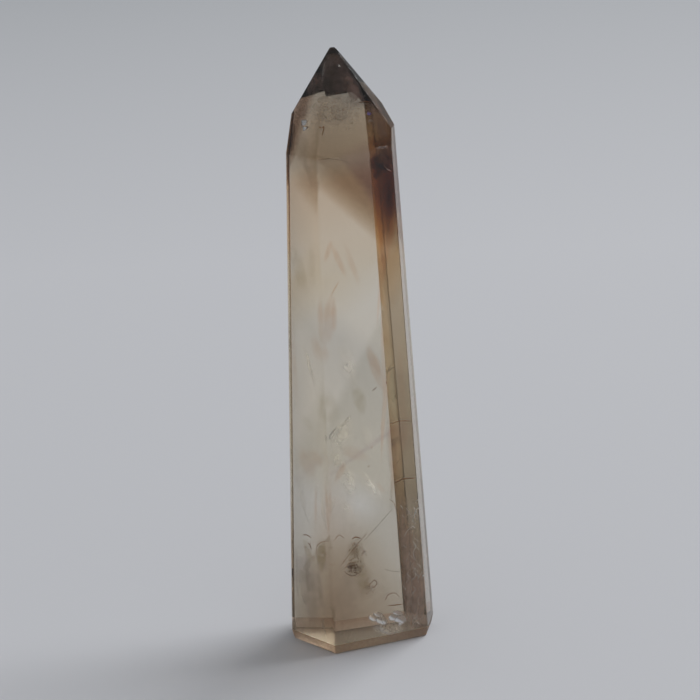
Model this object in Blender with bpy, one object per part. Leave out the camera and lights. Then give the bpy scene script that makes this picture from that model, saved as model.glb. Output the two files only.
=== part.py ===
"""Citrine crystal point: one clear crystal, ground to six leaning shaft faces and a six-sided tip, polished,
with soft edges, a worn tip and a bevelled flat base. Metres, +Z up. The origin is the middle of the base."""

import math
from collections import namedtuple

import bmesh
import bpy
from mathutils import Vector

MM = 0.001

# The six tip facets would meet at the apex, and wear has taken its sharp end off.
APEX_HEIGHT = 78.8 * MM
APEX_OFF_AXIS = (-0.24 * MM, 0.25 * MM)
TIP_WORN_OFF = 0.55 * MM
ROUGH_BLOCK_WIDTH = 60 * MM

# The edge between the shaft and the base is ground back by hand.
BASE_BEVEL_HEIGHT = 1.3 * MM
BASE_BEVEL_INSET = 0.35 * MM

# Polishing leaves no sharp edge: each is a small round, in this many steps.
EDGE_RADIUS = 0.25 * MM
EDGE_STEPS = 3
FLAT_WITHIN = math.radians(0.2)

# Each side is one shaft face and the tip facet over it. Azimuths are degrees from -Y towards +X. Reach is the
# distance from the axis to the shaft face at base level, and lean is how far that face leans in, in degrees.
# The tip facet is turned a little from its face, and slope is how far its normal tilts up, in degrees.
Side = namedtuple("Side", "azimuth reach lean tip_turn tip_slope")
SIDES = {
    "front": Side(azimuth=18.9, reach=4.88 * MM, lean=1.31, tip_turn=-0.8, tip_slope=15.7),
    "right": Side(azimuth=77.4, reach=8.78 * MM, lean=1.94, tip_turn=-0.6, tip_slope=32.2),
    "back_right": Side(azimuth=139.6, reach=7.64 * MM, lean=1.82, tip_turn=5.1, tip_slope=31.7),
    "back": Side(azimuth=190.1, reach=5.61 * MM, lean=1.05, tip_turn=2.6, tip_slope=28.1),
    "left": Side(azimuth=-113.5, reach=8.32 * MM, lean=2.28, tip_turn=-0.6, tip_slope=31.0),
    "front_left": Side(azimuth=-44.5, reach=7.27 * MM, lean=1.77, tip_turn=0.5, tip_slope=21.6),
}


def outward(azimuth, slope):
    """The outward normal of a flat that faces this azimuth, tilted up by slope, both in degrees."""
    turn = math.radians(azimuth)
    tilt = math.radians(slope)
    return Vector((math.sin(turn) * math.cos(tilt), -math.cos(turn) * math.cos(tilt), math.sin(tilt)))


def grind(stone, point, normal):
    """Grinds a flat through point, set in by the edge radius, which the rounding puts back."""
    cut = bmesh.ops.bisect_plane(
        stone,
        geom=stone.verts[:] + stone.edges[:] + stone.faces[:],
        dist=1e-7,
        plane_co=point - normal * EDGE_RADIUS,
        plane_no=normal,
        clear_outer=True,
    )
    rim = [piece for piece in cut["geom_cut"] if isinstance(piece, bmesh.types.BMEdge)]
    bmesh.ops.contextual_create(stone, geom=rim)


def rough_block():
    """A block of crystal, larger than the finished point all round."""
    stone = bmesh.new()
    bmesh.ops.create_cube(stone, size=1.0)
    bmesh.ops.scale(stone, vec=(ROUGH_BLOCK_WIDTH, ROUGH_BLOCK_WIDTH, 2 * APEX_HEIGHT), verts=stone.verts)
    return stone


def grind_point(stone):
    """Grinds the base, the worn tip, and on each side the shaft face, the tip facet and the base bevel."""
    apex = Vector((*APEX_OFF_AXIS, APEX_HEIGHT))
    grind(stone, Vector((0, 0, 0)), Vector((0, 0, -1)))
    grind(stone, apex - Vector((0, 0, TIP_WORN_OFF)), Vector((0, 0, 1)))
    for side in SIDES.values():
        straight_out = outward(side.azimuth, 0)
        foot = straight_out * side.reach
        grind(stone, foot, outward(side.azimuth, side.lean))
        grind(stone, apex, outward(side.azimuth + side.tip_turn, side.tip_slope))
        leaned_in = BASE_BEVEL_HEIGHT * math.tan(math.radians(side.lean))
        bevel_slope = -math.degrees(math.atan2(BASE_BEVEL_INSET - leaned_in, BASE_BEVEL_HEIGHT))
        grind(stone, foot - straight_out * BASE_BEVEL_INSET, outward(side.azimuth, bevel_slope))


def round_corner(corner):
    """Points of a small ball round one corner, over the part of it that the faces there leave bare."""
    middle = sum((face.normal for face in corner.link_faces), Vector()).normalized()
    points = []
    for edge in corner.link_edges:
        first, second = (face.normal for face in edge.link_faces)
        for step in range(EDGE_STEPS + 1):
            across = first.slerp(second, step / EDGE_STEPS)
            for inward in range(EDGE_STEPS):
                towards = across.slerp(middle, inward / EDGE_STEPS)
                points.append(corner.co + towards * EDGE_RADIUS)
        points.append(corner.co + middle * EDGE_RADIUS)
    return points


def rounded(stone):
    """The skin stretched over a small ball at each corner: the same flats, with every edge rounded."""
    stone.normal_update()
    polished = bmesh.new()
    for corner in stone.verts:
        for point in round_corner(corner):
            polished.verts.new(point)
    bmesh.ops.remove_doubles(polished, verts=polished.verts, dist=EDGE_RADIUS / 50)
    hull = bmesh.ops.convex_hull(polished, input=polished.verts)
    inside = [piece for piece in hull["geom_interior"] if isinstance(piece, bmesh.types.BMVert)]
    bmesh.ops.delete(polished, geom=inside, context="VERTS")
    bmesh.ops.dissolve_limit(
        polished, angle_limit=FLAT_WITHIN, verts=polished.verts, edges=polished.edges
    )
    return polished


def centre_on_base(stone):
    """Puts the middle of the outline, seen from above, over the origin."""
    for axis in range(2):
        places = [corner.co[axis] for corner in stone.verts]
        middle = (min(places) + max(places)) / 2
        for corner in stone.verts:
            corner.co[axis] -= middle


def citrine():
    """Clear crystal with a faint smoky honey tint."""
    material = bpy.data.materials.new("citrine")
    material.use_nodes = True
    shader = material.node_tree.nodes["Principled BSDF"]
    shader.inputs["Base Color"].default_value = (0.86, 0.78, 0.64, 1)
    shader.inputs["Roughness"].default_value = 0.04
    shader.inputs["Metallic"].default_value = 0.0
    shader.inputs["IOR"].default_value = 1.545
    shader.inputs["Transmission Weight"].default_value = 1.0
    return material


def make_crystal():
    stone = rough_block()
    grind_point(stone)
    polished = rounded(stone)
    stone.free()
    centre_on_base(polished)
    bmesh.ops.recalc_face_normals(polished, faces=polished.faces)
    mesh = bpy.data.meshes.new("crystal_point")
    polished.to_mesh(mesh)
    polished.free()
    mesh.materials.append(citrine())
    crystal = bpy.data.objects.new("crystal_point", mesh)
    bpy.context.scene.collection.objects.link(crystal)


for leftover in list(bpy.data.objects):
    bpy.data.objects.remove(leftover)
make_crystal()
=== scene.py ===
"""A polished point of smoky citrine, standing on a sheet of pale paper in soft daylight. Metres, +Z up."""

import math
import random
from collections import namedtuple

import bmesh
import bpy
from mathutils import Matrix, Vector, noise
from mathutils.bvhtree import BVHTree


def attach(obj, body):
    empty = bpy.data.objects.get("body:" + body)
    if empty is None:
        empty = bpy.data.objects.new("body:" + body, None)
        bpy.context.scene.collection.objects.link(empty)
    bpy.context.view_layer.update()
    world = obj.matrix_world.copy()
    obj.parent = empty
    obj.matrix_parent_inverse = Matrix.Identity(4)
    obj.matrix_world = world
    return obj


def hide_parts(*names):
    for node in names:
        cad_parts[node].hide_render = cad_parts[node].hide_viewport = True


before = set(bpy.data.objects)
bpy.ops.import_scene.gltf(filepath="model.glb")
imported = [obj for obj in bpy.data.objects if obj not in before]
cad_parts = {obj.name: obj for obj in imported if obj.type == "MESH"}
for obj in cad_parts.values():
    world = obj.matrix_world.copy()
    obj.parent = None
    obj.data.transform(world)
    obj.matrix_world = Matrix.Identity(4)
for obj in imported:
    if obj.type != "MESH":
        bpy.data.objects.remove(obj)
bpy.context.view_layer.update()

MM = 0.001

# ---------------------------------------------------------------- camera
# A small camera on a stand, level with the crystal's middle and looking down at it, with a long lens.
# It is tilted a little, so the crystal leans to the right in the picture.
PICTURE_WIDTH = 700
FOCAL_LENGTH = 2300
SENSOR_WIDTH = 36
CAMERA_DISTANCE = 291.0 * MM
CAMERA_ELEVATION = math.radians(19.18)
CAMERA_ROLL = math.radians(-2.85)
AIMED_AT = Vector((0.08, 0, 39.48)) * MM
NEAREST_SEEN = 10 * MM
LONGEST_LIGHT_PATH = 200
SOFT_LIGHT_BOUNCES = 3


def look_at(target, distance, elevation, roll):
    """A camera's matrix: it looks along +Y, down by elevation, from distance, turned by roll about its own axis."""
    back = Vector((0, -math.cos(elevation), math.sin(elevation)))
    level = Vector((1, 0, 0))
    upright = back.cross(level)
    across = math.cos(roll) * level + math.sin(roll) * upright
    upward = math.cos(roll) * upright - math.sin(roll) * level
    pose = Matrix((across, upward, back)).transposed().to_4x4()
    pose.translation = target + back * distance
    return pose


camera_data = bpy.data.cameras.new("camera")
camera_data.sensor_width = SENSOR_WIDTH
camera_data.lens = SENSOR_WIDTH * FOCAL_LENGTH / PICTURE_WIDTH
camera_data.clip_start = NEAREST_SEEN
camera = bpy.data.objects.new("camera", camera_data)
camera.matrix_world = look_at(AIMED_AT, CAMERA_DISTANCE, CAMERA_ELEVATION, CAMERA_ROLL)
bpy.context.scene.collection.objects.link(camera)
bpy.context.scene.camera = camera

# Light turns many corners inside the crystal before it leaves, so its path may be long.
scene = bpy.context.scene
scene.view_settings.view_transform = "Standard"
scene.cycles.max_bounces = LONGEST_LIGHT_PATH
scene.cycles.glossy_bounces = LONGEST_LIGHT_PATH
scene.cycles.transmission_bounces = LONGEST_LIGHT_PATH
scene.cycles.transparent_max_bounces = LONGEST_LIGHT_PATH
scene.cycles.diffuse_bounces = SOFT_LIGHT_BOUNCES
scene.cycles.volume_bounces = 0

# ---------------------------------------------------------------- polished crystal
# The body of the point: one clear quartz crystal, ground to flats and polished with fine oxide on a felt wheel.
# Its own glassy substance has hardly any colour. The base and its bevel were ground on a coarse wheel and left matt.
CRYSTAL_IOR = 1.545
CLEAR_QUARTZ_TAKES = (0.5, 5, 13)
STRONGEST_TAKES = 0.9
WELD_WITHIN = 0.001 * MM
FLAT_WITHIN = math.radians(0.2)
EDGE_ANGLE = math.radians(35)
LARGE_FLATS_LEAD = 100
CLEAR = (1, 1, 1, 1)
POLISHED_ROUGHNESS = 0.0
RUBBED_ROUGHNESS = 0.012
WHEEL_MARK_SIZE = 4 * MM
WHEEL_MARK_RANGE = (0.45, 0.75)
POLISH_WAVE_SIZE = 6 * MM
POLISH_WAVE_DEPTH = 0.0015 * MM
GROUND_TO = 1.33 * MM
GROUND_FADE = 0.08 * MM
GROUND_ROUGHNESS = (0.45, 0.65)
GROUND_TINT = (0.8, 0.66, 0.58, 1)
GROUND_DIRT = (0.56, 0.38, 0.3, 1)
GRIT_SIZE = 0.35 * MM
GRIT_RANGE = (0.3, 0.7)
GRIT_DEPTH = 0.02 * MM


def link(piece):
    """Puts the piece in the scene."""
    bpy.context.scene.collection.objects.link(piece)
    return piece


def new_material(name):
    """A node material, with its tree and its Principled shader."""
    material = bpy.data.materials.new(name)
    material.use_nodes = True
    tree = material.node_tree
    return material, tree, tree.nodes["Principled BSDF"]


def absorb(tree, per_metre):
    """Plain absorption: how much of red, green and blue each metre takes, as exponents."""
    body = tree.nodes.new("ShaderNodeVolumeAbsorption")
    density = max(per_metre) / STRONGEST_TAKES
    body.inputs["Color"].default_value = (*[1 - taken / density for taken in per_metre], 1)
    body.inputs["Density"].default_value = density
    tree.links.new(body.outputs["Volume"], tree.nodes["Material Output"].inputs["Volume"])


def stepped(tree, value, low, high, at_low, at_high):
    """The value, mapped so that low gives at_low and high gives at_high, and no further."""
    step = tree.nodes.new("ShaderNodeMapRange")
    step.interpolation_type = "SMOOTHSTEP"
    step.inputs["From Min"].default_value = min(low, high)
    step.inputs["From Max"].default_value = max(low, high)
    step.inputs["To Min"].default_value = at_low if low < high else at_high
    step.inputs["To Max"].default_value = at_high if low < high else at_low
    tree.links.new(value, step.inputs["Value"])
    return step.outputs["Result"]


def put(tree, value, socket):
    """Links an output to a socket, or writes a plain value there."""
    if isinstance(value, bpy.types.NodeSocket):
        tree.links.new(value, socket)
    else:
        socket.default_value = value


def mixed(tree, share, first, second):
    """A number between first and second."""
    mix = tree.nodes.new("ShaderNodeMix")
    for value, name in ((share, "Factor"), (first, "A"), (second, "B")):
        put(tree, value, mix.inputs[name])
    return mix.outputs["Result"]


def blended(tree, share, first, second):
    """A colour between first and second."""
    mix = tree.nodes.new("ShaderNodeMix")
    mix.data_type = "RGBA"
    put(tree, share, mix.inputs["Factor"])
    sockets = [socket for socket in mix.inputs if socket.type == "RGBA"]
    put(tree, first, sockets[0])
    put(tree, second, sockets[1])
    return mix.outputs[2]


def speckle(tree, place, size, detail):
    """Cloudy noise from 0 to 1, with spots of about this size."""
    cloud = tree.nodes.new("ShaderNodeTexNoise")
    cloud.inputs["Scale"].default_value = 1 / size
    cloud.inputs["Detail"].default_value = detail
    tree.links.new(place, cloud.inputs["Vector"])
    return cloud.outputs["Fac"]


def raised(tree, shader, height, depth):
    """Bump of this height map, depth metres high."""
    bump = tree.nodes.new("ShaderNodeBump")
    tree.links.new(height, bump.inputs["Height"])
    put(tree, depth, bump.inputs["Distance"])
    tree.links.new(bump.outputs["Normal"], shader.inputs["Normal"])


def polished_quartz():
    """Clear polished quartz, with the base and its bevel matt and a little brown."""
    material, tree, shader = new_material("polished_quartz")
    place = tree.nodes.new("ShaderNodeTexCoord").outputs["Object"]
    height = tree.nodes.new("ShaderNodeSeparateXYZ")
    tree.links.new(place, height.inputs["Vector"])
    ground = stepped(tree, height.outputs["Z"], GROUND_TO + GROUND_FADE, GROUND_TO, 0, 1)
    grit = speckle(tree, place, GRIT_SIZE, detail=4)
    wheel_marks = speckle(tree, place, WHEEL_MARK_SIZE, detail=2)
    polish = stepped(tree, wheel_marks, *WHEEL_MARK_RANGE, POLISHED_ROUGHNESS, RUBBED_ROUGHNESS)
    matt = stepped(tree, grit, *GRIT_RANGE, *GROUND_ROUGHNESS)
    tree.links.new(mixed(tree, ground, polish, matt), shader.inputs["Roughness"])
    dirt = blended(tree, grit, GROUND_TINT, GROUND_DIRT)
    tree.links.new(blended(tree, ground, CLEAR, dirt), shader.inputs["Base Color"])
    shader.inputs["IOR"].default_value = CRYSTAL_IOR
    shader.inputs["Transmission Weight"].default_value = 1.0
    waves = speckle(tree, place, POLISH_WAVE_SIZE, detail=1)
    relief = mixed(tree, ground, waves, grit)
    depth = mixed(tree, ground, POLISH_WAVE_DEPTH, GRIT_DEPTH)
    raised(tree, shader, relief, depth)
    absorb(tree, CLEAR_QUARTZ_TAKES)
    return material


def welded_copy(node):
    """The CAD solid's mesh again, with the corners that its faces share made one."""
    stone = bmesh.new()
    stone.from_mesh(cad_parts[node].data)
    bmesh.ops.remove_doubles(stone, verts=stone.verts, dist=WELD_WITHIN)
    bmesh.ops.dissolve_limit(stone, angle_limit=FLAT_WITHIN, verts=stone.verts, edges=stone.edges)
    stone.normal_update()
    return stone


def soften(piece):
    """Flats stay flat to the eye, and the narrow rounds between them shade smoothly."""
    piece.data.shade_smooth()
    piece.data.set_sharp_from_angle(angle=EDGE_ANGLE)
    weigh = piece.modifiers.new("flats stay flat", "WEIGHTED_NORMAL")
    weigh.keep_sharp = False
    weigh.weight = LARGE_FLATS_LEAD


stone = welded_copy("crystal_point")
crystal_mesh = bpy.data.meshes.new("polished_crystal")
stone.to_mesh(crystal_mesh)
crystal_mesh.materials.append(polished_quartz())
crystal = link(bpy.data.objects.new("polished_crystal", crystal_mesh))
soften(crystal)
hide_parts("crystal_point")
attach(crystal, "root")

# ---------------------------------------------------------------- colour zones
# The crystal grew in layers, and each took up its own colour: smoky in the crown, honey below it, brown at the root.
# The region at the left edge is painted shade instead.
# They are one substance with the body, so each is a bounded region with no surface of its own, only a tint.
# Each lies a step deeper under the skin than the one before, so no two of them share a border.
SKIN = 0.05 * MM
SKIN_STEP = 0.025 * MM
CUT_WITHIN = 1e-8
CORNER_WITHIN = 0.003 * MM
zones_made = []


def tint_only(name, per_metre):
    """A region that light crosses straight, and that only takes colour from it."""
    material, tree, shader = new_material(name)
    shader.inputs["Base Color"].default_value = CLEAR
    shader.inputs["Roughness"].default_value = 0.0
    shader.inputs["IOR"].default_value = 1.0
    shader.inputs["Transmission Weight"].default_value = 1.0
    absorb(tree, per_metre)
    return material


def facing(azimuth, slope):
    """The direction that faces this azimuth, from -Y towards +X, tilted up by slope, both in degrees."""
    turn = math.radians(azimuth)
    tilt = math.radians(slope)
    return Vector((math.sin(turn) * math.cos(tilt), -math.cos(turn) * math.cos(tilt), math.sin(tilt)))


def colour_zone(name, per_metre, borders):
    """The part of the crystal beyond each flat border, given as the azimuth and slope that it faces and its distance
    from the middle of the base in mm. It takes per_metre of red, green and blue."""
    skin = SKIN + SKIN_STEP * len(zones_made)
    region = stone.copy()
    region.normal_update()
    for corner in region.verts:
        corner.co -= corner.normal * skin
    for azimuth, slope, distance in borders:
        outward = facing(azimuth, slope)
        bmesh.ops.bisect_plane(
            region,
            geom=region.verts[:] + region.edges[:] + region.faces[:],
            dist=CUT_WITHIN,
            plane_co=outward * distance * MM,
            plane_no=outward,
            clear_inner=True,
        )
    bmesh.ops.delete(region, geom=region.edges[:], context="EDGES_FACES")
    bmesh.ops.remove_doubles(region, verts=region.verts, dist=CORNER_WITHIN)
    hull = bmesh.ops.convex_hull(region, input=region.verts[:])
    within = [part for part in hull["geom_interior"] if isinstance(part, bmesh.types.BMVert)]
    bmesh.ops.delete(region, geom=within, context="VERTS")
    bmesh.ops.recalc_face_normals(region, faces=region.faces)
    if region.calc_volume(signed=True) < 0:
        bmesh.ops.reverse_faces(region, faces=region.faces)
    mesh = bpy.data.meshes.new(name)
    region.to_mesh(mesh)
    region.free()
    mesh.materials.append(tint_only(name, per_metre))
    zone = link(bpy.data.objects.new(name, mesh))
    zones_made.append(zone)
    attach(zone, "root")


colour_zone("smoky_crown", (106, 144, 194), [(135, 38, 36.7), (10, 0, -3.8)])
colour_zone("smoke_behind_crown", (112, 152, 116), [(35, -28, -28.6), (136, 41, 41.05), (10, 0, -3.6)])
colour_zone("dark_sheet_at_back", (28, 84, 138), [(190, 12, 13.7), (10, 0, -3.5), (190, -60, -53.0)])
colour_zone("amber_back", (5, 50, 120), [(190, 0, 3.85), (190, 12, 14.85), (190, -60, -52.6)])
colour_zone("left_shoulder_smoke", (275, 370, 440), [(-94, 21, 28.3)])
# Painted shade: this region darkens what the left face shows, in place of the dimmer paper seen through that face.
colour_zone("left_edge_painted_shade", (176, 193, 226), [(-59, 2, 6.7)])
colour_zone("red_breath_behind_tip", (35, 16, 1), [(154, 54, 58.6)])
colour_zone("red_breath_in_front", (22, 13, 0), [(-10, 35, 38.1)])
colour_zone("honey_back_edge", (25, 38, 46), [(96, 3, 6.9)])
colour_zone("honey_belt", (15, 33, 62), [(27, -45, -37.9), (-153, 27, 23.6)])
colour_zone("honey_above_foot", (12, 17, 29), [(156, 49, 16.1)])
colour_zone("green_belt", (20, 33, 23), [(85, -58, -21.9), (-115, 56, 21.5)])
colour_zone("grey_left_belt", (45, 41, 34), [(20, 16, 11.7), (-22, -30, -19.7)])
colour_zone("grey_middle", (18, 18, 21), [(82, -29, -18.1)])
colour_zone("grey_foot", (20, 24, 32), [(58, -40, -10.8)])
colour_zone("brown_root", (20, 30, 44), [(-12, -19, -2.7)])
colour_zone("brown_cloud_in_front", (62, 94, 120), [(-5, -10, 0.5), (0, 90, 3.3)])

# ---------------------------------------------------------------- healed cracks
# Cracks that opened while the crystal grew and closed again. Each left a thin bowed sheet of gas films, clay or rust
# inside, thickest at its middle. They are grown in with the crystal and touch none of its faces.
PICTURE_MIDDLE = PICTURE_WIDTH / 2
KEPT_UNDER_SKIN = 0.12 * MM
RIM_STEPS = 26
RING_STEPS = 6
RAGGED = 0.22
RAG_SCALE = 1.7
RIM_WAVE = 0.5
SEED_STEP = 0.37
AXIS_FOOT = 2 * MM
AXIS_TOP = 70 * MM
CLOUD_RANGE = (0.36, 0.62)
DUST_IS_FINER = 7
FILLING_RELIEF = 0.02 * MM
GLINTING = (51, 28)
STEEP = (-5, 12)
ON_TIP_FACET = (76.8, 32)
Sheet = namedtuple("Sheet", "start end width depth strength crisp lie bow", defaults=(1.0, STEEP, 0.25))
skin_tree = BVHTree.FromBMesh(stone)


def bend(ray, normal, ratio):
    """A ray after it crosses a face into the crystal."""
    toward = -ray.dot(normal)
    return (ratio * ray + (ratio * toward - math.sqrt(1 - ratio**2 * (1 - toward**2))) * normal).normalized()


def sight_line(x, y):
    """Where the sight line through a point of the picture enters the crystal, and its direction inside."""
    aim = Vector((x - PICTURE_MIDDLE, PICTURE_MIDDLE - y, -FOCAL_LENGTH))
    aim = (camera.matrix_world.to_3x3() @ aim).normalized()
    entry, normal, _, _ = skin_tree.ray_cast(camera.matrix_world.translation, aim)
    if entry is None:
        return None, None
    return entry, bend(aim, normal, 1 / CRYSTAL_IOR)


def kept_inside(point):
    """The point, or the nearest one on its way out from the axis that stays under the skin."""
    axis = Vector((0, 0, min(max(point.z, AXIS_FOOT), AXIS_TOP)))
    way = point - axis
    hit, _, _, reach = skin_tree.ray_cast(axis, way.normalized())
    if hit is None or way.length <= reach - KEPT_UNDER_SKIN:
        return point
    return axis + way.normalized() * (reach - KEPT_UNDER_SKIN)


def inside_at(x, y, depth):
    """The point inside the crystal that shows at this place of the picture, depth mm along the sight line."""
    entry, way = sight_line(x, y)
    return kept_inside(entry + way * depth * MM)


def sheet_ends(sheet, turned):
    """The sheet's two ends, on the plane through its middle that faces turned."""
    middle_x = (sheet.start[0] + sheet.end[0]) / 2
    middle_y = (sheet.start[1] + sheet.end[1]) / 2
    middle_entry, middle_way = sight_line(middle_x, middle_y)
    middle = middle_entry + middle_way * sheet.depth * MM
    ends = []
    for x, y in (sheet.start, sheet.end):
        entry, way = sight_line(x, y)
        ends.append(entry + way * ((middle - entry).dot(turned) / way.dot(turned)))
    return ends


def sheet_rings(healed, sheet):
    """The sheet's points, ring by ring, from the one at its middle out to its ragged rim."""
    seed = len(healed.verts) * SEED_STEP + sheet.start[0]
    turned = facing(*sheet.lie)
    ends = sheet_ends(sheet, turned)
    along = (ends[1] - ends[0]) / 2
    centre = (ends[1] + ends[0]) / 2
    across = turned.cross(along).normalized() * sheet.width * MM / 2
    rings = []
    for ring in range(RING_STEPS + 1):
        share = ring / RING_STEPS
        points = []
        for step in range(RIM_STEPS if ring else 1):
            turn = math.tau * step / RIM_STEPS
            wobble = noise.noise(Vector((math.cos(turn), math.sin(turn), seed)) * RAG_SCALE)
            reach = share * (1 + RAGGED * wobble)
            swell = turned * sheet.bow * MM * (1 - share**2 + RIM_WAVE * wobble * share)
            point = centre + along * math.cos(turn) * reach + across * math.sin(turn) * reach + swell
            points.append(healed.verts.new(kept_inside(point)))
        rings.append(points)
    return rings


def add_sheet(healed, sheet):
    """One sheet between its two ends in the picture. Its width, depth under the skin and bow are in mm."""
    layer = healed.loops.layers.uv.verify()
    rings = sheet_rings(healed, sheet)
    for ring in range(RING_STEPS):
        inner, outer = rings[ring], rings[ring + 1]
        for step in range(RIM_STEPS):
            after = (step + 1) % RIM_STEPS
            if ring == 0:
                corners = [inner[0], outer[step], outer[after]]
            else:
                corners = [inner[step], outer[step], outer[after], inner[after]]
            face = healed.faces.new(corners)
            for loop in face.loops:
                rim_share = (ring if loop.vert in inner else ring + 1) / RING_STEPS
                loop[layer].uv = (rim_share**sheet.crisp, sheet.strength)


def multiplied(tree, first, second):
    """The product of two numbers."""
    product = tree.nodes.new("ShaderNodeMath")
    product.operation = "MULTIPLY"
    tree.links.new(first, product.inputs[0])
    tree.links.new(second, product.inputs[1])
    return product.outputs["Value"]


def filled_share(tree, place, grain, detail, rim_from, thinnest):
    """How full a sheet is: most at its middle, patchy, and gone at its rim, times the sheet's strength."""
    spread = tree.nodes.new("ShaderNodeUVMap")
    spread.uv_map = "spread"
    split = tree.nodes.new("ShaderNodeSeparateXYZ")
    tree.links.new(spread.outputs["UV"], split.inputs["Vector"])
    cloud = speckle(tree, place, grain, detail)
    to_rim = stepped(tree, split.outputs["X"], rim_from, 1.0, 1, 0)
    patchy = stepped(tree, cloud, *CLOUD_RANGE, thinnest, 1.0)
    return multiplied(tree, multiplied(tree, to_rim, patchy), split.outputs["Y"])


def crack_filling(name, colour, other_colour, grain, roughness=0.85, metallic=0.0):
    """What fills a healed crack and hides what is behind it: clay, rust or, where metallic, a film of gas."""
    material, tree, shader = new_material(name)
    place = tree.nodes.new("ShaderNodeTexCoord").outputs["Object"]
    dust = speckle(tree, place, grain / DUST_IS_FINER, detail=3)
    tree.links.new(blended(tree, dust, colour, other_colour), shader.inputs["Base Color"])
    opacity = filled_share(tree, place, grain, detail=6, rim_from=0.2, thinnest=0.5)
    tree.links.new(opacity, shader.inputs["Alpha"])
    shader.inputs["Roughness"].default_value = roughness
    shader.inputs["Metallic"].default_value = metallic
    raised(tree, shader, dust, FILLING_RELIEF)
    return material


def stain(name, colour, grain):
    """A clear stain in a healed crack: it tints what is seen through it."""
    material, tree, shader = new_material(name)
    place = tree.nodes.new("ShaderNodeTexCoord").outputs["Object"]
    share = filled_share(tree, place, grain, detail=5, rim_from=0.15, thinnest=0.6)
    tree.links.new(blended(tree, share, CLEAR, colour), shader.inputs["Base Color"])
    shader.inputs["Transmission Weight"].default_value = 1.0
    shader.inputs["IOR"].default_value = 1.0
    shader.inputs["Roughness"].default_value = 0.0
    return material


def grown_in(name, healed, filling):
    """Makes one piece of the crystal's inside."""
    mesh = bpy.data.meshes.new(name)
    healed.to_mesh(mesh)
    healed.free()
    mesh.materials.append(filling)
    mesh.shade_smooth()
    piece = link(bpy.data.objects.new(name, mesh))
    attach(piece, "root")
    return piece


def healed_cracks(name, filling, sheets):
    """All the sheets with one filling, as one piece."""
    healed = bmesh.new()
    for sheet in sheets:
        add_sheet(healed, sheet)
    piece = grown_in(name, healed, filling)
    piece.data.uv_layers[0].name = "spread"


pale_films = crack_filling("pale_films", (0.94, 0.97, 1, 1), (0.84, 0.88, 0.94, 1), 1.2 * MM, 0.5, 1.0)
healed_cracks("pale_veils", pale_films, [
    Sheet(start=(302, 340), end=(316, 395), width=2.0, depth=1.2, strength=0.5, lie=GLINTING),
    Sheet(start=(343, 336), end=(352, 395), width=4.0, depth=4.0, strength=0.35, lie=GLINTING),
    Sheet(start=(330, 456), end=(354, 416), width=4.0, depth=3.0, strength=0.42, crisp=0.9, lie=GLINTING),
    Sheet(start=(335, 437), end=(354, 410), width=0.6, depth=2.4, strength=0.35, crisp=2.0, lie=GLINTING),
    Sheet(start=(326, 443), end=(338, 426), width=0.6, depth=1.4, strength=0.4, crisp=1.5, lie=GLINTING),
    Sheet(start=(333, 440), end=(340, 480), width=3.0, depth=2.4, strength=0.36, crisp=0.9, lie=GLINTING),
    Sheet(start=(342, 460), end=(353, 506), width=4.0, depth=3.0, strength=0.38, crisp=0.9, lie=GLINTING),
    Sheet(start=(340, 492), end=(354, 534), width=3.4, depth=3.6, strength=0.3, lie=GLINTING),
    Sheet(start=(362, 420), end=(374, 458), width=2.6, depth=4.0, strength=0.25, lie=GLINTING),
    Sheet(start=(356, 470), end=(384, 506), width=3.4, depth=3.2, strength=0.3, lie=GLINTING),
    Sheet(start=(322, 490), end=(323, 538), width=1.5, depth=0.9, strength=0.25, crisp=1.6, lie=GLINTING),
    Sheet(start=(298, 470), end=(305, 530), width=3.0, depth=1.6, strength=0.22, lie=GLINTING),
    Sheet(start=(322, 612), end=(324, 642), width=1.2, depth=0.7, strength=0.3, crisp=2.2, lie=GLINTING),
    Sheet(start=(294, 560), end=(306, 622), width=1.0, depth=0.8, strength=0.3, lie=GLINTING),
    Sheet(start=(326, 57), end=(320, 82), width=0.7, depth=0.7, strength=0.25, lie=GLINTING),
    Sheet(start=(366, 121), end=(374, 121), width=0.8, depth=0.6, strength=0.4, lie=GLINTING),
    Sheet(start=(374, 149), end=(389, 146), width=0.5, depth=0.7, strength=0.5, lie=GLINTING),
])
tan_stain = stain("tan_stain", (0.72, 0.3, 0.07, 1), 1.6 * MM)
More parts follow.
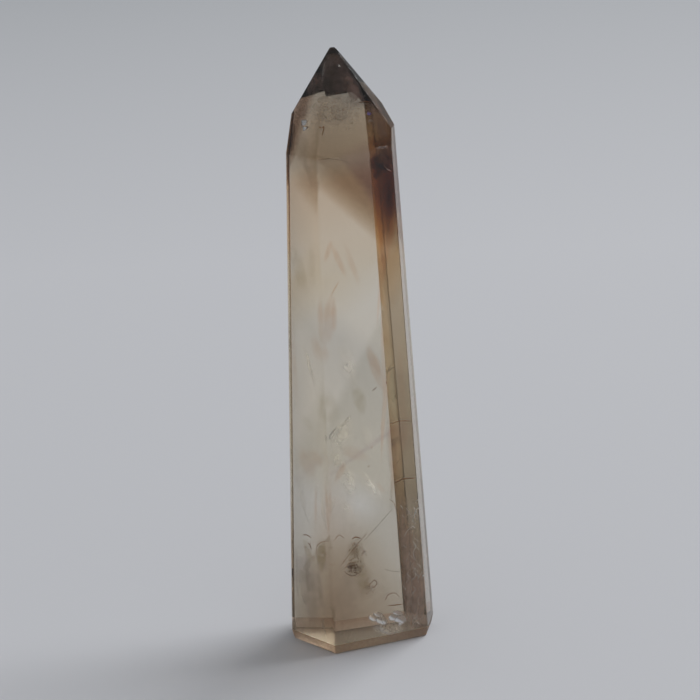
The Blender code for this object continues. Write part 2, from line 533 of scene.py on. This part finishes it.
healed_cracks("tan_veils", tan_stain, [
    Sheet(start=(331, 290), end=(328, 348), width=2.2, depth=1.6, strength=0.42, crisp=2.0),
    Sheet(start=(334, 298), end=(335, 334), width=0.9, depth=1.5, strength=0.3, crisp=2.0),
    Sheet(start=(319, 265), end=(332, 239), width=0.9, depth=1.6, strength=0.4, crisp=1.5),
    Sheet(start=(329, 240), end=(348, 280), width=1.0, depth=2.0, strength=0.4, crisp=1.5),
    Sheet(start=(344, 240), end=(361, 291), width=1.1, depth=3.0, strength=0.25, crisp=1.5),
    Sheet(start=(341, 278), end=(329, 299), width=0.35, depth=1.8, strength=0.5, crisp=1.5),
    Sheet(start=(311, 334), end=(328, 366), width=2.2, depth=1.2, strength=0.32, crisp=1.5),
    Sheet(start=(290, 300), end=(298, 430), width=1.5, depth=1.2, strength=0.25),
    Sheet(start=(367, 344), end=(383, 390), width=1.8, depth=3.0, strength=0.55, crisp=2.2),
    Sheet(start=(299, 445), end=(315, 482), width=2.8, depth=1.4, strength=0.35, crisp=1.5),
    Sheet(start=(316, 474), end=(315, 540), width=0.7, depth=0.8, strength=0.4),
    Sheet(start=(312, 152), end=(326, 166), width=0.9, depth=1.2, strength=0.25),
    Sheet(start=(375, 480), end=(386, 495), width=1.0, depth=2.0, strength=0.3),
    Sheet(start=(305, 447), end=(332, 468), width=2.2, depth=1.6, strength=0.3, crisp=1.5),
    Sheet(start=(338, 446), end=(370, 460), width=2.2, depth=3.4, strength=0.28, crisp=1.5),
    Sheet(start=(347, 461), end=(328, 485), width=1.1, depth=1.8, strength=0.42, crisp=1.6),
    Sheet(start=(330, 476), end=(329, 542), width=0.7, depth=0.9, strength=0.42, crisp=1.6),
])
amber_stain = stain("amber_stain", (0.95, 0.4, 0.08, 1), 2.5 * MM)
healed_cracks("amber_veils", amber_stain, [
    Sheet(start=(378, 168), end=(387, 330), width=1.7, depth=0.6, strength=0.4, crisp=3.0),
    Sheet(start=(388, 149), end=(390.5, 238), width=1.9, depth=0.55, strength=0.8, crisp=3.0),
    Sheet(start=(382, 262), end=(391, 480), width=1.5, depth=0.6, strength=0.4, crisp=3.0),
    Sheet(start=(391, 400), end=(398, 500), width=1.9, depth=0.6, strength=0.45, crisp=2.0),
    Sheet(start=(398, 330), end=(409, 520), width=1.4, depth=0.6, strength=0.25, crisp=3.0),
])
smoke_stain = stain("smoke_stain", (0.14, 0.06, 0.03, 1), 1.5 * MM)
healed_cracks("smoke_veils", smoke_stain, [
    Sheet(start=(373, 161), end=(393, 161), width=3.2, depth=0.6, strength=1.0, crisp=3.0),
    Sheet(start=(374, 150), end=(379, 182), width=2.2, depth=0.5, strength=1.1, crisp=3.0),
    Sheet(start=(386, 176), end=(391, 214), width=1.0, depth=0.5, strength=0.7, crisp=1.5),
    Sheet(start=(388.5, 166), end=(390.5, 256), width=1.2, depth=0.5, strength=0.85, crisp=1.6),
    Sheet(start=(292, 119), end=(290, 156), width=1.5, depth=0.3, strength=0.7, crisp=4.0),
    Sheet(start=(291, 128), end=(289, 152), width=1.1, depth=0.25, strength=0.5, crisp=4.0),
    Sheet(start=(357, 78), end=(392, 122), width=2.6, depth=0.3, strength=1.6, crisp=6.0, lie=ON_TIP_FACET, bow=0),
    Sheet(start=(318, 150), end=(372, 176), width=4.0, depth=1.6, strength=0.12),
    Sheet(start=(296, 536), end=(296, 612), width=1.2, depth=0.6, strength=0.4),
    Sheet(start=(387, 392), end=(398, 524), width=1.7, depth=0.6, strength=0.3, crisp=2.0),
    Sheet(start=(305, 540), end=(309, 612), width=1.1, depth=0.7, strength=0.4),
    Sheet(start=(316, 560), end=(324, 614), width=1.2, depth=0.7, strength=0.4),
    Sheet(start=(345, 556), end=(348, 636), width=5.0, depth=0.9, strength=0.22, crisp=1.3),
    Sheet(start=(301, 530), end=(312, 632), width=5.6, depth=0.9, strength=0.52, crisp=1.3),
    Sheet(start=(301, 126), end=(304, 168), width=2.6, depth=0.8, strength=0.32, crisp=1.2),
    Sheet(start=(350, 536), end=(356, 612), width=4.6, depth=1.4, strength=0.16, crisp=1.2),
    Sheet(start=(376, 568), end=(382, 612), width=3.4, depth=1.2, strength=0.1),
    Sheet(start=(303, 158), end=(316, 192), width=1.1, depth=0.9, strength=0.28, crisp=2.5),
    Sheet(start=(321, 103), end=(320, 138), width=0.8, depth=0.8, strength=0.25),
    Sheet(start=(299, 105), end=(310, 118), width=1.5, depth=0.8, strength=0.3),
    Sheet(start=(318, 582), end=(321, 609), width=1.0, depth=0.7, strength=0.25),
    Sheet(start=(335, 598), end=(335, 643), width=0.3, depth=0.7, strength=0.45),
    Sheet(start=(366, 124), end=(374, 140), width=1.2, depth=0.8, strength=0.45),
    Sheet(start=(367, 142), end=(384, 143), width=1.3, depth=0.5, strength=1.2, crisp=1.5),
])
olive_stain = stain("olive_stain", (0.4, 0.3, 0.08, 1), 1.2 * MM)
healed_cracks("olive_veils", olive_stain, [
    Sheet(start=(292, 240), end=(304, 296), width=2.8, depth=1.2, strength=0.35, crisp=1.5),
    Sheet(start=(310, 236), end=(313, 292), width=1.6, depth=0.8, strength=0.22),
    Sheet(start=(320, 386), end=(334, 432), width=3.0, depth=1.6, strength=0.28, crisp=1.5),
    Sheet(start=(325, 392), end=(320, 421), width=0.8, depth=1.2, strength=0.3),
    Sheet(start=(355, 384), end=(364, 416), width=2.2, depth=3.4, strength=0.45, crisp=2.0),
    Sheet(start=(300, 413), end=(315, 434), width=1.8, depth=1.4, strength=0.22),
    Sheet(start=(322, 536), end=(320, 576), width=2.4, depth=0.7, strength=0.8, crisp=1.6),
    Sheet(start=(303, 536), end=(312, 566), width=1.6, depth=0.7, strength=0.5, crisp=1.6),
    Sheet(start=(357, 534), end=(354, 584), width=3.0, depth=1.6, strength=0.75, crisp=1.4),
    Sheet(start=(360, 556), end=(368, 604), width=3.2, depth=1.8, strength=0.65, crisp=1.3),
    Sheet(start=(347, 566), end=(362, 569), width=1.3, depth=1.4, strength=0.6, crisp=2.0),
])
tip_dust = crack_filling("tip_dust", (0.5, 0.32, 0.25, 1), (0.42, 0.28, 0.24, 1), 1.4 * MM)
healed_cracks("tip_haze", tip_dust, [
    Sheet(start=(333, 48), end=(338, 100), width=4.4, depth=1.0, strength=0.36, crisp=2.5),
    Sheet(start=(341, 66), end=(363, 112), width=2.6, depth=0.7, strength=0.85, crisp=1.3),
    Sheet(start=(367, 99), end=(388, 142), width=2.6, depth=0.6, strength=0.7, crisp=1.3),
    Sheet(start=(319, 72), end=(308, 98), width=3.0, depth=0.6, strength=0.5, crisp=2.0),
    Sheet(start=(374, 150), end=(392, 172), width=1.9, depth=0.8, strength=0.2, crisp=1.6),
])
clay_dust = crack_filling("clay_dust", (0.95, 0.9, 0.82, 1), (0.8, 0.72, 0.62, 1), 0.9 * MM)
healed_cracks("clay_veil", clay_dust, [
    Sheet(start=(302, 106), end=(362, 112), width=4.4, depth=1.5, strength=0.45, crisp=1.4),
    Sheet(start=(323, 98), end=(360, 100), width=1.4, depth=1.3, strength=0.4, crisp=1.4),
])
root_dust = crack_filling("root_dust", (0.86, 0.66, 0.53, 1), (0.7, 0.5, 0.38, 1), 2.0 * MM)
healed_cracks("root_haze", root_dust, [
    Sheet(start=(402, 486), end=(409, 634), width=1.8, depth=1.6, strength=0.75, crisp=1.6),
    Sheet(start=(407, 500), end=(415, 634), width=2.4, depth=1.7, strength=0.75, crisp=1.6),
    Sheet(start=(413, 520), end=(422, 632), width=2.4, depth=1.5, strength=0.85, crisp=1.6),
    Sheet(start=(408, 560), end=(414, 633), width=3.2, depth=1.8, strength=0.8, crisp=1.6),
])

# ---------------------------------------------------------------- grains
# Grains of clay, rust and gas that the crystal grew round. They lie in loose crowds on old growth faces under the
# tip and in the root, where the crystal once stood on its rock.
Crowd = namedtuple("Crowd", "middle half_width half_height count size depth tilt", defaults=(0.0,))
GRAIN_SPREAD = 0.45 * MM
CROWD_SPREAD = 0.5
CROWD_EDGE = 1.2
SHALLOWEST_GRAIN = 0.4
GRAIN_SIDES = 4
MOTTLE_SIZE = 0.2 * MM
chance = random.Random(7)


def add_grain(grains, point, size):
    """One small eight-sided grain, a little longer one way."""
    longer = size * chance.uniform(1.0, 1.8)
    turn = Matrix.Rotation(chance.uniform(0, math.tau), 3, "Z") @ Matrix.Rotation(chance.uniform(0, 3), 3, "X")
    ends = [Vector((0, 0, longer)), Vector((0, 0, -longer))]
    belt = [Vector((size, 0, 0)), Vector((0, size, 0)), Vector((-size, 0, 0)), Vector((0, -size, 0))]
    top, foot = (grains.verts.new(point + turn @ corner) for corner in ends)
    ring = [grains.verts.new(point + turn @ corner) for corner in belt]
    for step in range(GRAIN_SIDES):
        after = (step + 1) % GRAIN_SIDES
        grains.faces.new([ring[step], ring[after], top])
        grains.faces.new([ring[after], ring[step], foot])


def mineral(name, colour, other_colour, roughness, metallic=0.0):
    """A solid grain's surface, a little uneven in colour."""
    material, tree, shader = new_material(name)
    place = tree.nodes.new("ShaderNodeTexCoord").outputs["Object"]
    uneven = speckle(tree, place, MOTTLE_SIZE, detail=3)
    tree.links.new(blended(tree, uneven, colour, other_colour), shader.inputs["Base Color"])
    shader.inputs["Roughness"].default_value = roughness
    shader.inputs["Metallic"].default_value = metallic
    return material


def crowds_of_grains(name, filling, crowds):
    """Loose crowds of grains, densest at each crowd's middle. Grain sizes and depths are in mm."""
    grains = bmesh.new()
    for crowd in crowds:
        for _ in range(crowd.count):
            aside = chance.gauss(0, CROWD_SPREAD)
            down = chance.gauss(0, CROWD_SPREAD)
            x = crowd.middle[0] + crowd.half_width * max(-CROWD_EDGE, min(CROWD_EDGE, aside))
            y = crowd.middle[1] + crowd.half_height * max(-CROWD_EDGE, min(CROWD_EDGE, down))
            depth = crowd.depth - crowd.tilt * down + chance.gauss(0, CROWD_SPREAD) * GRAIN_SPREAD / MM
            size = crowd.size * MM * chance.uniform(0.4, 1.0)
            if sight_line(x, y)[0] is not None:
                add_grain(grains, inside_at(x, y, max(depth, SHALLOWEST_GRAIN)), size / 2)
    grown_in(name, grains, filling)


clay_grain = mineral("clay_grain", (0.95, 0.88, 0.76, 1), (0.7, 0.56, 0.44, 1), 0.8)
crowds_of_grains("pale_grains", clay_grain, [
    Crowd(middle=(340, 113), half_width=25, half_height=16, count=420, size=0.13, depth=1.0, tilt=0.4),
    Crowd(middle=(303, 112), half_width=9, half_height=13, count=130, size=0.13, depth=0.8, tilt=0.3),
    Crowd(middle=(365, 104), half_width=10, half_height=12, count=60, size=0.1, depth=1.0),
    Crowd(middle=(340, 485), half_width=26, half_height=45, count=120, size=0.07, depth=3.2),
    Crowd(middle=(411, 560), half_width=5, half_height=50, count=120, size=0.12, depth=0.9),
])
rust_grain = mineral("rust_grain", (0.46, 0.19, 0.05, 1), (0.2, 0.09, 0.04, 1), 0.7)
crowds_of_grains("rust_grains", rust_grain, [
    Crowd(middle=(343, 105), half_width=20, half_height=11, count=110, size=0.13, depth=1.2, tilt=0.5),
    Crowd(middle=(355, 550), half_width=6, half_height=12, count=130, size=0.14, depth=1.4),
    Crowd(middle=(354, 567), half_width=9, half_height=7, count=230, size=0.15, depth=1.4),
    Crowd(middle=(368, 588), half_width=7, half_height=9, count=120, size=0.12, depth=1.6),
    Crowd(middle=(364, 552), half_width=3, half_height=6, count=30, size=0.13, depth=1.6),
    Crowd(middle=(308, 546), half_width=5, half_height=9, count=40, size=0.13, depth=0.9),
    Crowd(middle=(314, 558), half_width=3, half_height=3, count=16, size=0.14, depth=0.9),
    Crowd(middle=(323, 555), half_width=8, half_height=14, count=80, size=0.1, depth=0.9),
    Crowd(middle=(386.5, 383), half_width=0.6, half_height=0.8, count=6, size=0.2, depth=0.8),
    Crowd(middle=(368, 467), half_width=2, half_height=1, count=5, size=0.12, depth=2.0),
    Crowd(middle=(372, 447), half_width=1, half_height=2, count=5, size=0.12, depth=2.0),
    Crowd(middle=(340, 570), half_width=45, half_height=34, count=160, size=0.07, depth=1.8),
])

# ---------------------------------------------------------------- hair cracks
# Fine cracks and needles inside the crystal, each seen as a thin line. The dark ones hold rust, the pale ones air.
THREAD_SIDES = 5
THREAD_STEPS = 5
THREAD_TIP = 0.15
THREAD_TAPER = 0.6
NO_THREADS_WAY = Vector((0.1, 1, 0.2))
Thread = namedtuple("Thread", "points width depth")


def smooth_through(points):
    """A smooth curve through the points."""
    if len(points) == 2:
        return [points[0].lerp(points[1], step / THREAD_STEPS) for step in range(THREAD_STEPS + 1)]
    path = []
    padded = [points[0], *points, points[-1]]
    for index in range(len(points) - 1):
        before, start, end, after = padded[index : index + 4]
        for step in range(THREAD_STEPS):
            share = step / THREAD_STEPS
            bent = 2 * start + (end - before) * share
            bent += (2 * before - 5 * start + 4 * end - after) * share**2
            bent += (3 * start - before - 3 * end + after) * share**3
            path.append(bent / 2)
    path.append(points[-1])
    return path


def add_thread(threads, thread):
    """A thin closed thread that tapers to both ends, through places of the picture. Width and depth are in mm."""
    path = smooth_through([inside_at(x, y, thread.depth) for x, y in thread.points])
    rings = []
    for index, point in enumerate(path):
        along = (path[min(index + 1, len(path) - 1)] - path[max(index - 1, 0)]).normalized()
        side = along.cross(NO_THREADS_WAY).normalized()
        up = along.cross(side)
        swell = THREAD_TIP + (1 - THREAD_TIP) * math.sin(math.pi * index / (len(path) - 1)) ** THREAD_TAPER
        reach = thread.width * MM / 2 * swell
        ring = []
        for step in range(THREAD_SIDES):
            turn = math.tau * step / THREAD_SIDES
            ring.append(threads.verts.new(point + (side * math.cos(turn) + up * math.sin(turn)) * reach))
        rings.append(ring)
    for here, further in zip(rings, rings[1:]):
        for step in range(THREAD_SIDES):
            after = (step + 1) % THREAD_SIDES
            threads.faces.new([here[step], here[after], further[after], further[step]])
    threads.faces.new(reversed(rings[0]))
    threads.faces.new(rings[-1])


def hair_cracks(name, filling, threads):
    """All the threads with one filling, as one piece."""
    lines = bmesh.new()
    for thread in threads:
        add_thread(lines, thread)
    bmesh.ops.recalc_face_normals(lines, faces=lines.faces)
    grown_in(name, lines, filling)


hair_cracks("rust_cracks", rust_grain, [
    Thread(points=[(358, 103), (365, 101.5), (372, 102)], width=0.16, depth=0.8),
    Thread(points=[(319, 128), (324, 127), (322, 136)], width=0.14, depth=0.8),
    Thread(points=[(303, 535), (307, 535), (311, 538)], width=0.14, depth=0.8),
    Thread(points=[(308, 543), (310, 545), (311, 549)], width=0.15, depth=0.8),
    Thread(points=[(316, 556), (317, 546), (322, 542), (331, 541)], width=0.07, depth=0.9),
    Thread(points=[(334, 541), (339, 535), (344, 538)], width=0.07, depth=0.9),
    Thread(points=[(352, 539), (356, 537), (361, 538.5)], width=0.16, depth=1.0),
    Thread(points=[(340, 567), (352, 551), (361, 540), (367, 533)], width=0.06, depth=1.4),
    Thread(points=[(371, 584), (374, 580), (377, 583), (374, 587), (371, 586)], width=0.08, depth=1.2),
    Thread(points=[(344, 571), (352, 576), (362, 571)], width=0.08, depth=1.4),
    Thread(points=[(372, 391), (377, 387)], width=0.1, depth=1.2),
    Thread(points=[(389, 424.5), (400, 421), (410, 421)], width=0.09, depth=0.7),
    Thread(points=[(394, 483.5), (403, 479), (415, 478)], width=0.15, depth=0.7),
    Thread(points=[(389, 499), (394, 503), (396, 511)], width=0.07, depth=0.8),
    Thread(points=[(388, 605.5), (395, 605), (404, 604)], width=0.12, depth=0.7),
    Thread(points=[(385, 601), (388, 595), (395, 593), (400, 598)], width=0.07, depth=0.7),
])
grey_line = mineral("grey_line", (0.5, 0.44, 0.36, 1), (0.36, 0.31, 0.26, 1), 0.7)
hair_cracks("grey_cracks", grey_line, [
    Thread(points=[(394, 507), (380, 523), (364, 541)], width=0.05, depth=1.2),
    Thread(points=[(384, 569), (392, 571), (401, 572)], width=0.05, depth=0.8),
    Thread(points=[(318, 160), (330, 159), (346, 161)], width=0.05, depth=1.0),
])
air_line = mineral("air_line", (0.95, 0.95, 0.93, 1), (0.8, 0.8, 0.78, 1), 0.35, 0.9)
SHORT_THREADS = 46
ROOT_BAND_TOP = 500
ROOT_BAND_FOOT = 626
ROOT_BAND_LEFT = 402
ROOT_BAND_SLANT = 0.055
ROOT_BAND_WIDTH = 15
band_threads = [
    Thread(points=[(413, 521), (415, 513), (420, 505)], width=0.13, depth=0.7),
    Thread(points=[(420, 520), (416, 512), (413, 506)], width=0.08, depth=0.7),
    Thread(points=[(404, 537), (408, 530), (415, 525)], width=0.08, depth=0.7),
    Thread(points=[(412, 541), (416, 546), (413, 553), (416, 561)], width=0.08, depth=0.7),
    Thread(points=[(405, 591), (408, 583), (415, 577), (415, 570)], width=0.08, depth=0.7),
    Thread(points=[(412, 606), (416, 612), (417, 621)], width=0.09, depth=0.7),
    Thread(points=[(384, 165), (387, 169), (391, 171)], width=0.1, depth=0.7),
    Thread(points=[(326.5, 441), (330, 435), (337, 427)], width=0.09, depth=1.2),
]
for _ in range(SHORT_THREADS):
    y = chance.uniform(ROOT_BAND_TOP, ROOT_BAND_FOOT)
    x = ROOT_BAND_LEFT + (y - ROOT_BAND_TOP) * ROOT_BAND_SLANT + chance.uniform(0, ROOT_BAND_WIDTH)
    lean = chance.choice((-0.9, 0.7)) + chance.gauss(0, 0.25)
    rise = chance.uniform(2.5, 6.5)
    bulge = chance.uniform(-1.2, 1.2)
    places = [(x, y), (x + lean * rise / 2 + bulge, y - rise / 2), (x + lean * rise, y - rise)]
    thickness = chance.uniform(0.04, 0.08)
    band_threads.append(Thread(points=places, width=thickness, depth=chance.uniform(0.5, 0.8)))
hair_cracks("pale_threads", air_line, band_threads)

# ---------------------------------------------------------------- gas films
# Flat films of gas in the crystal, thinner than paper. They lie as the growth faces do, and each is a small mirror
# that catches the window. The one near the tip is thin enough to be coloured.
GLINT_GRAIN = 0.35 * MM
AT_FOOT = (51.5, 30)
FLAT = 0.02
mirror_film = crack_filling("mirror_film", (1, 1, 1, 1), (0.92, 0.94, 0.96, 1), GLINT_GRAIN, 0.36, 1.0)
healed_cracks("gas_films", mirror_film, [
    Sheet(start=(368, 617), end=(379, 618), width=1.3, depth=0.3, strength=1.8, crisp=2.4, lie=AT_FOOT, bow=FLAT),
    Sheet(start=(376, 621), end=(388, 620), width=1.4, depth=0.3, strength=1.8, crisp=2.4, lie=AT_FOOT, bow=FLAT),
    Sheet(start=(373, 613), end=(384, 616), width=0.9, depth=0.3, strength=1.6, crisp=1.6, lie=AT_FOOT, bow=FLAT),
    Sheet(start=(381, 613), end=(386, 626), width=0.8, depth=0.3, strength=1.4, crisp=1.6, lie=AT_FOOT, bow=FLAT),
    Sheet(start=(389, 618), end=(400, 616), width=1.3, depth=0.3, strength=1.8, crisp=2.4, lie=AT_FOOT, bow=FLAT),
    Sheet(start=(396, 620), end=(407, 618), width=1.5, depth=0.3, strength=1.8, crisp=2.4, lie=AT_FOOT, bow=FLAT),
    Sheet(start=(392, 612), end=(404, 614), width=0.9, depth=0.3, strength=1.5, crisp=1.6, lie=AT_FOOT, bow=FLAT),
    Sheet(start=(398, 611), end=(403, 627), width=0.8, depth=0.3, strength=1.3, crisp=1.6, lie=AT_FOOT, bow=FLAT),
    Sheet(start=(372, 629), end=(405, 628), width=2.6, depth=0.5, strength=0.45, crisp=1.4, lie=AT_FOOT, bow=FLAT),
    Sheet(start=(294, 125), end=(309, 121), width=1.0, depth=0.3, strength=1.6, crisp=1.6, lie=GLINTING, bow=FLAT),
    Sheet(start=(297, 131), end=(309, 127), width=0.6, depth=0.3, strength=1.6, crisp=3, lie=GLINTING, bow=FLAT),
    Sheet(start=(338, 65), end=(340.5, 66.5), width=0.2, depth=0.5, strength=0.6, crisp=3, lie=GLINTING, bow=0),
])
coloured_film = crack_filling("coloured_film", (0.22, 0.16, 0.85, 1), (0.3, 0.35, 0.9, 1), GLINT_GRAIN, 0.4, 1.0)
healed_cracks("blue_film", coloured_film, [
    Sheet(start=(366.5, 113.5), end=(371.5, 113.5), width=0.7, depth=0.6, strength=0.7, crisp=2, lie=GLINTING, bow=0),
])

# ---------------------------------------------------------------- paper and light
# A wide sheet of pale grey paper lies under the crystal and goes on behind it. Daylight comes from a large
# window on the right and a little behind, and the pale room gives the rest.
PAPER_SIZE = 6.0
PAPER_GAP = 0.03 * MM
PAPER_COLOUR = (0.645, 0.655, 0.69, 1)
# Painted shade: the paper's colour fades to this darker grey further back.
PAPER_PAINTED_SHADE_COLOUR = (0.41, 0.43, 0.455, 1)
PAINTED_SHADE_FROM = 0.17
PAINTED_SHADE_TO = 0.60
PAPER_ROUGHNESS = 0.9
ROOM_COLOUR = (0.97, 0.985, 1.0, 1)
ROOM_LIGHT = 0.33
WINDOW_PLACE = Vector((2.0, 1.25, 2.1))
WINDOW_SIDE = 2.2
WINDOW_WATTS = 69


def pale_paper():
    """Matt pale grey paper, its colour darkened as painted shade the further it goes back."""
    material, tree, shader = new_material("paper")
    place = tree.nodes.new("ShaderNodeTexCoord")
    axes = tree.nodes.new("ShaderNodeSeparateXYZ")
    tree.links.new(place.outputs["Object"], axes.inputs["Vector"])
    # Painted shade: the paper's colour darkens with distance back along Y.
    painted_far_shade = tree.nodes.new("ShaderNodeMapRange")
    painted_far_shade.inputs["From Min"].default_value = PAINTED_SHADE_FROM
    painted_far_shade.inputs["From Max"].default_value = PAINTED_SHADE_TO
    tree.links.new(axes.outputs["Y"], painted_far_shade.inputs["Value"])
    colour = blended(tree, painted_far_shade.outputs["Result"], PAPER_COLOUR, PAPER_PAINTED_SHADE_COLOUR)
    tree.links.new(colour, shader.inputs["Base Color"])
    shader.inputs["Roughness"].default_value = PAPER_ROUGHNESS
    return material


paper_mesh = bpy.data.meshes.new("paper")
half = PAPER_SIZE / 2
corners = [(-half, -half), (half, -half), (half, half), (-half, half)]
paper_mesh.from_pydata([(x, y, -PAPER_GAP) for x, y in corners], [], [(0, 1, 2, 3)])
paper_mesh.materials.append(pale_paper())
paper = link(bpy.data.objects.new("paper", paper_mesh))

room = bpy.data.worlds.new("room")
room.use_nodes = True
room.node_tree.nodes["Background"].inputs["Color"].default_value = ROOM_COLOUR
room.node_tree.nodes["Background"].inputs["Strength"].default_value = ROOM_LIGHT
scene.world = room

window_data = bpy.data.lights.new("window", "AREA")
window_data.size = WINDOW_SIDE
window_data.energy = WINDOW_WATTS
window = link(bpy.data.objects.new("window", window_data))
window.location = WINDOW_PLACE
window.rotation_euler = (-WINDOW_PLACE).to_track_quat("-Z", "Y").to_euler()
